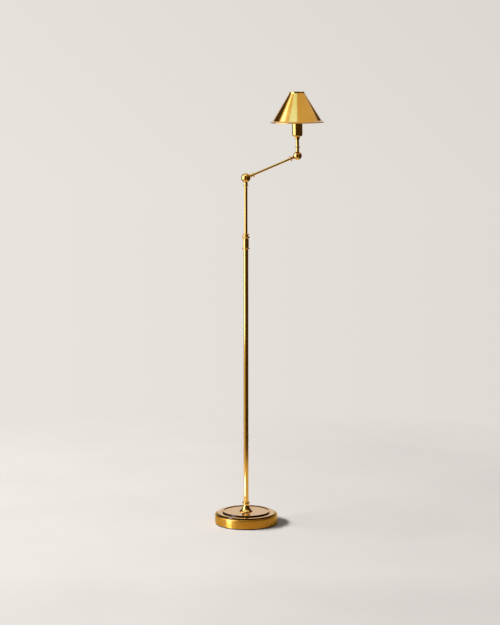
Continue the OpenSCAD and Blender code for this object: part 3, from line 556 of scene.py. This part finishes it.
def domed_screw(name, node, body):
    """A screw along -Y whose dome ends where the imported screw's head ends."""
    low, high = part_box(node)
    under_head = low.y + HEAD_HEIGHT * MM
    length = (high.y - under_head) / MM
    made = turned(name, [
        (SCREW_RADIUS - SCREW_CHAMFER, -length), (SCREW_RADIUS, SCREW_CHAMFER - length),
        (SCREW_RADIUS, 0), (HEAD_RADIUS, 0), (HEAD_RADIUS, HEAD_EDGE), (3.9, 1.5), (3.2, 2.05),
        (2.2, 2.4), (1.0, 2.58), (0.3, HEAD_HEIGHT)], segments=48, closed=False)
    bpy.ops.object.select_all(action="DESELECT")
    slot_floor = HEAD_HEIGHT - SLOT_DEPTH
    bpy.ops.mesh.primitive_cube_add(
        size=1, location=(0, 0, (slot_floor + CUTTER_HEIGHT / 2) * MM))
    slot_cutter = bpy.context.object
    slot_cutter.scale = (3 * HEAD_RADIUS * MM, SLOT_WIDTH * MM, CUTTER_HEIGHT * MM)
    bpy.ops.object.transform_apply(location=False, rotation=False, scale=True)
    cut(made, slot_cutter)
    middle = (low + high) / 2
    finish(made, "polished_brass", body, node, Vector((middle.x, under_head, middle.z)), FRONT)


domed_screw("elbow_screw_domed", "elbow_screw", "mast")
domed_screw("head_screw_domed", "head_screw", "head")

# %% Threaded cap of the bulb
THREAD_PITCH = 3.6
THREAD_START = 8.0
THREAD_TURNS = 4
ROOT_RADIUS = 12.1
FLANK_RADIUS = 12.7
CREST_RADIUS = 12.95
RIM_RADIUS = 12.9

cap_low, cap_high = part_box("bulb_base")
cap_height = (cap_high - cap_low).dot(HEAD_AXIS) / MM
cap_profile = [
    (3.0, 0.1), (4.5, 0.6), (5.0, 2.0), (9.0, 4.5), (11.6, 6.6), (ROOT_RADIUS, THREAD_START)]
for turn_number in range(THREAD_TURNS):
    start = THREAD_START + THREAD_PITCH * turn_number
    cap_profile += [
        (FLANK_RADIUS, start + 0.8), (CREST_RADIUS, start + 1.6), (FLANK_RADIUS, start + 2.4),
        (ROOT_RADIUS, start + 3.2)]
cap_profile += [
    (ROOT_RADIUS, cap_height - 1.4), (RIM_RADIUS, cap_height - 0.8),
    (RIM_RADIUS, cap_height - 0.1)]
cap = turned("bulb_cap_threaded", cap_profile, segments=96, closed=False)
cap_foot = (cap_low + cap_high) / 2 - HEAD_AXIS * (cap_height * MM / 2)
finish(cap, "bulb_cap", "head", "bulb_base", cap_foot, HEAD_AXIS)

# %% [markdown]
# ## The studio
#
# The camera and the metal see a pale backdrop, a little darker on the right and at the top.
# Every other ray finds a low, even light. The floor is painted nearly the same colour, with
# painted shade that darkens it towards the right and towards the front, and it turns clear
# towards its edge, so that no line shows where it meets the backdrop. It has no gloss, because
# a glossy floor would mirror the bright cards.

# %% World
PALE_LEFT = (0.815, 0.776, 0.733, 1)
PALE_RIGHT = (0.735, 0.701, 0.660, 1)
TOP_SHADE = 0.965
AMBIENT = (0.20, 0.197, 0.19, 1)

world = bpy.data.worlds.new("studio")
bpy.context.scene.world = world
world.use_nodes = True
tree = world.node_tree
direction = tree.nodes.new("ShaderNodeTexCoord").outputs["Generated"]
heading = add(tree, "ShaderNodeSeparateXYZ", Vector=direction)
rightward = spread(tree, heading.outputs["X"], 0, 1, start=-0.14, end=0.14)
upward = spread(tree, heading.outputs["Z"], 1.0, TOP_SHADE, start=-0.075, end=0.02)
backdrop = scaled(tree, blend_colour(tree, rightward, PALE_LEFT, PALE_RIGHT), upward)
path = tree.nodes.new("ShaderNodeLightPath")
direct = maths(tree, "MAXIMUM", path.outputs["Is Camera Ray"], path.outputs["Is Glossy Ray"])
seen = maths(tree, "MAXIMUM", direct, path.outputs["Is Transmission Ray"])
fill(tree, tree.nodes["Background"].inputs["Color"], blend_colour(tree, seen, AMBIENT, backdrop))

# %% Floor paint
FLOOR_LIGHT = (0.765, 0.727, 0.692, 1)
FLOOR_DEEP = (0.740, 0.703, 0.669, 1)
FADE_START = 1.5
FADE_END = 2.4

floor_paint, tree, shader = new_material("floor_paint", Roughness=0.9, Specular_IOR_Level=0.0)
mottle = noise(tree, place(tree), 2.2, detail=5.0)
tone = blend_colour(tree, spread(tree, mottle, 0, 1), FLOOR_LIGHT, FLOOR_DEEP)
spot = add(tree, "ShaderNodeSeparateXYZ", Vector=place(tree))
# Painted shade: the floor's colour darkens towards the right and towards the front.
right_painted_shade = spread(tree, spot.outputs["X"], 0.99, 0.955, start=-0.25, end=0.3)
front_painted_shade = spread(tree, spot.outputs["Y"], 0.95, 1.0, start=-1.05, end=-0.75)
painted_floor_shade = maths(tree, "MULTIPLY", right_painted_shade, front_painted_shade)
fill(tree, shader.inputs["Base Color"], scaled(tree, tone, painted_floor_shade))
reach = vector_math(tree, "LENGTH", place(tree))
gone = spread(tree, reach, 0, 1, FADE_START, FADE_END)
clear = tree.nodes.new("ShaderNodeBsdfTransparent")
fade = add(tree, "ShaderNodeMixShader", Fac=gone)
fill(tree, fade.inputs[1], shader.outputs["BSDF"])
fill(tree, fade.inputs[2], clear.outputs["BSDF"])
fill(tree, tree.nodes["Material Output"].inputs["Surface"], fade.outputs["Shader"])

# %% Floor
bpy.ops.object.select_all(action="DESELECT")
bpy.ops.mesh.primitive_circle_add(vertices=96, radius=FADE_END, fill_type="NGON")
floor = bpy.context.object
floor.name = "floor"
floor.data.materials.append(floor_paint)

# %% [markdown]
# ## Light and cards
#
# A long, wide softbox stands far to the left, 37 degrees up, so the floor is evenly lit and the
# base throws a short soft shadow to the right. Metal shows what stands round it, so there are
# cards that only reflections can see: a tall bright one on the left for the highlights of the
# tubes and balls, a low strip for the highlight on the base's wall, a panel overhead, and dark
# boards in front, to the right and behind, which give polished brass its deep side. The bright
# cards are bluish, because brass takes most of the blue out of what it reflects.

# %% Key light
def around_lamp(azimuth, distance, height):
    """A point round the lamp: azimuth 0 is towards the camera, 90 is to its right."""
    angle = math.radians(azimuth)
    return Vector((distance * math.sin(angle), -distance * math.cos(angle), height))


KEY_AZIMUTH = -83
KEY_ELEVATION = math.radians(37)
KEY_DISTANCE = 20.0
KEY_HALF_WIDTH = math.radians(23)
KEY_HALF_HEIGHT = math.radians(5.5)
KEY_POWER = 6450.0

key_reach = KEY_DISTANCE * math.cos(KEY_ELEVATION)
key_place = around_lamp(KEY_AZIMUTH, key_reach, KEY_DISTANCE * math.sin(KEY_ELEVATION))
bpy.ops.object.light_add(type="AREA", location=key_place)
key = bpy.context.object
key.name = "key_softbox"
key.rotation_euler = key_place.to_track_quat("Z", "Y").to_euler()
key.data.shape = "RECTANGLE"
key.data.size = 2 * KEY_DISTANCE * math.tan(KEY_HALF_WIDTH)
key.data.size_y = 2 * KEY_DISTANCE * math.tan(KEY_HALF_HEIGHT)
key.data.energy = KEY_POWER
key.visible_camera = False
key.visible_glossy = False


# %% Helpers for cards
DARK = (0.060, 0.042, 0.022, 1)


def card(name, centre_point, width, height, glow, aim=None):
    """A card that only reflections see, facing the lamp or the point it is aimed at."""
    bpy.ops.object.select_all(action="DESELECT")
    bpy.ops.mesh.primitive_plane_add(size=1, location=centre_point)
    made = bpy.context.object
    made.name = name
    away = centre_point - (aim if aim is not None else Vector((0, 0, centre_point.z)))
    made.rotation_euler = away.to_track_quat("Z", "Y").to_euler()
    made.scale = (width, height, 1)
    glowing = bpy.data.materials.new(name)
    glowing.use_nodes = True
    tree = glowing.node_tree
    emission = add(tree, "ShaderNodeEmission", Color=glow)
    fill(tree, tree.nodes["Material Output"].inputs["Surface"], emission.outputs["Emission"])
    made.data.materials.append(glowing)
    made.visible_camera = False
    made.visible_diffuse = False
    made.visible_transmission = False
    made.visible_shadow = False


def board(name, azimuth, half_angle, height, distance=1.15, glow=DARK, base=0.0):
    """A card standing round the lamp, as wide as twice its half angle seen from the pole."""
    width = 2 * distance * math.tan(math.radians(half_angle))
    card(name, around_lamp(azimuth, distance, base + height / 2), width, height, glow)


# %% Dark boards and bright cards
TALL_GLOW = (2.6, 3.4, 6.5, 1)
STRIP_GLOW = (16.0, 24.0, 66.0, 1)
PANEL_GLOW = (1.02, 1.70, 3.3, 1)
PANEL_PLACE = Vector((-0.56, -1.0, 4.0))
PANEL_WIDTH = 1.34
PANEL_LENGTH = 3.2
AZIMUTHS_AND_HEIGHTS = ((-8, 2.8), (52, 2.35), (112, 2.1))

for board_number, (azimuth, height) in enumerate(AZIMUTHS_AND_HEIGHTS):
    board(f"dark_board_{board_number}", azimuth, half_angle=30, height=height)
board("dark_board_back", azimuth=-133, half_angle=23, height=2.6)
board("bright_card", azimuth=-73, half_angle=31, height=3.8, distance=2.2, base=0.38,
      glow=TALL_GLOW)
board("strip_card", azimuth=-58, half_angle=8, height=0.08, distance=0.5, glow=STRIP_GLOW)
below_panel = Vector((PANEL_PLACE.x, PANEL_PLACE.y, 0))
card("overhead_panel", PANEL_PLACE, PANEL_WIDTH, PANEL_LENGTH, PANEL_GLOW, aim=below_panel)

# %% [markdown]
# ## The view transform
#
# Colours render through the Standard view transform.

# %% Set the view transform
bpy.context.scene.view_settings.view_transform = "Standard"
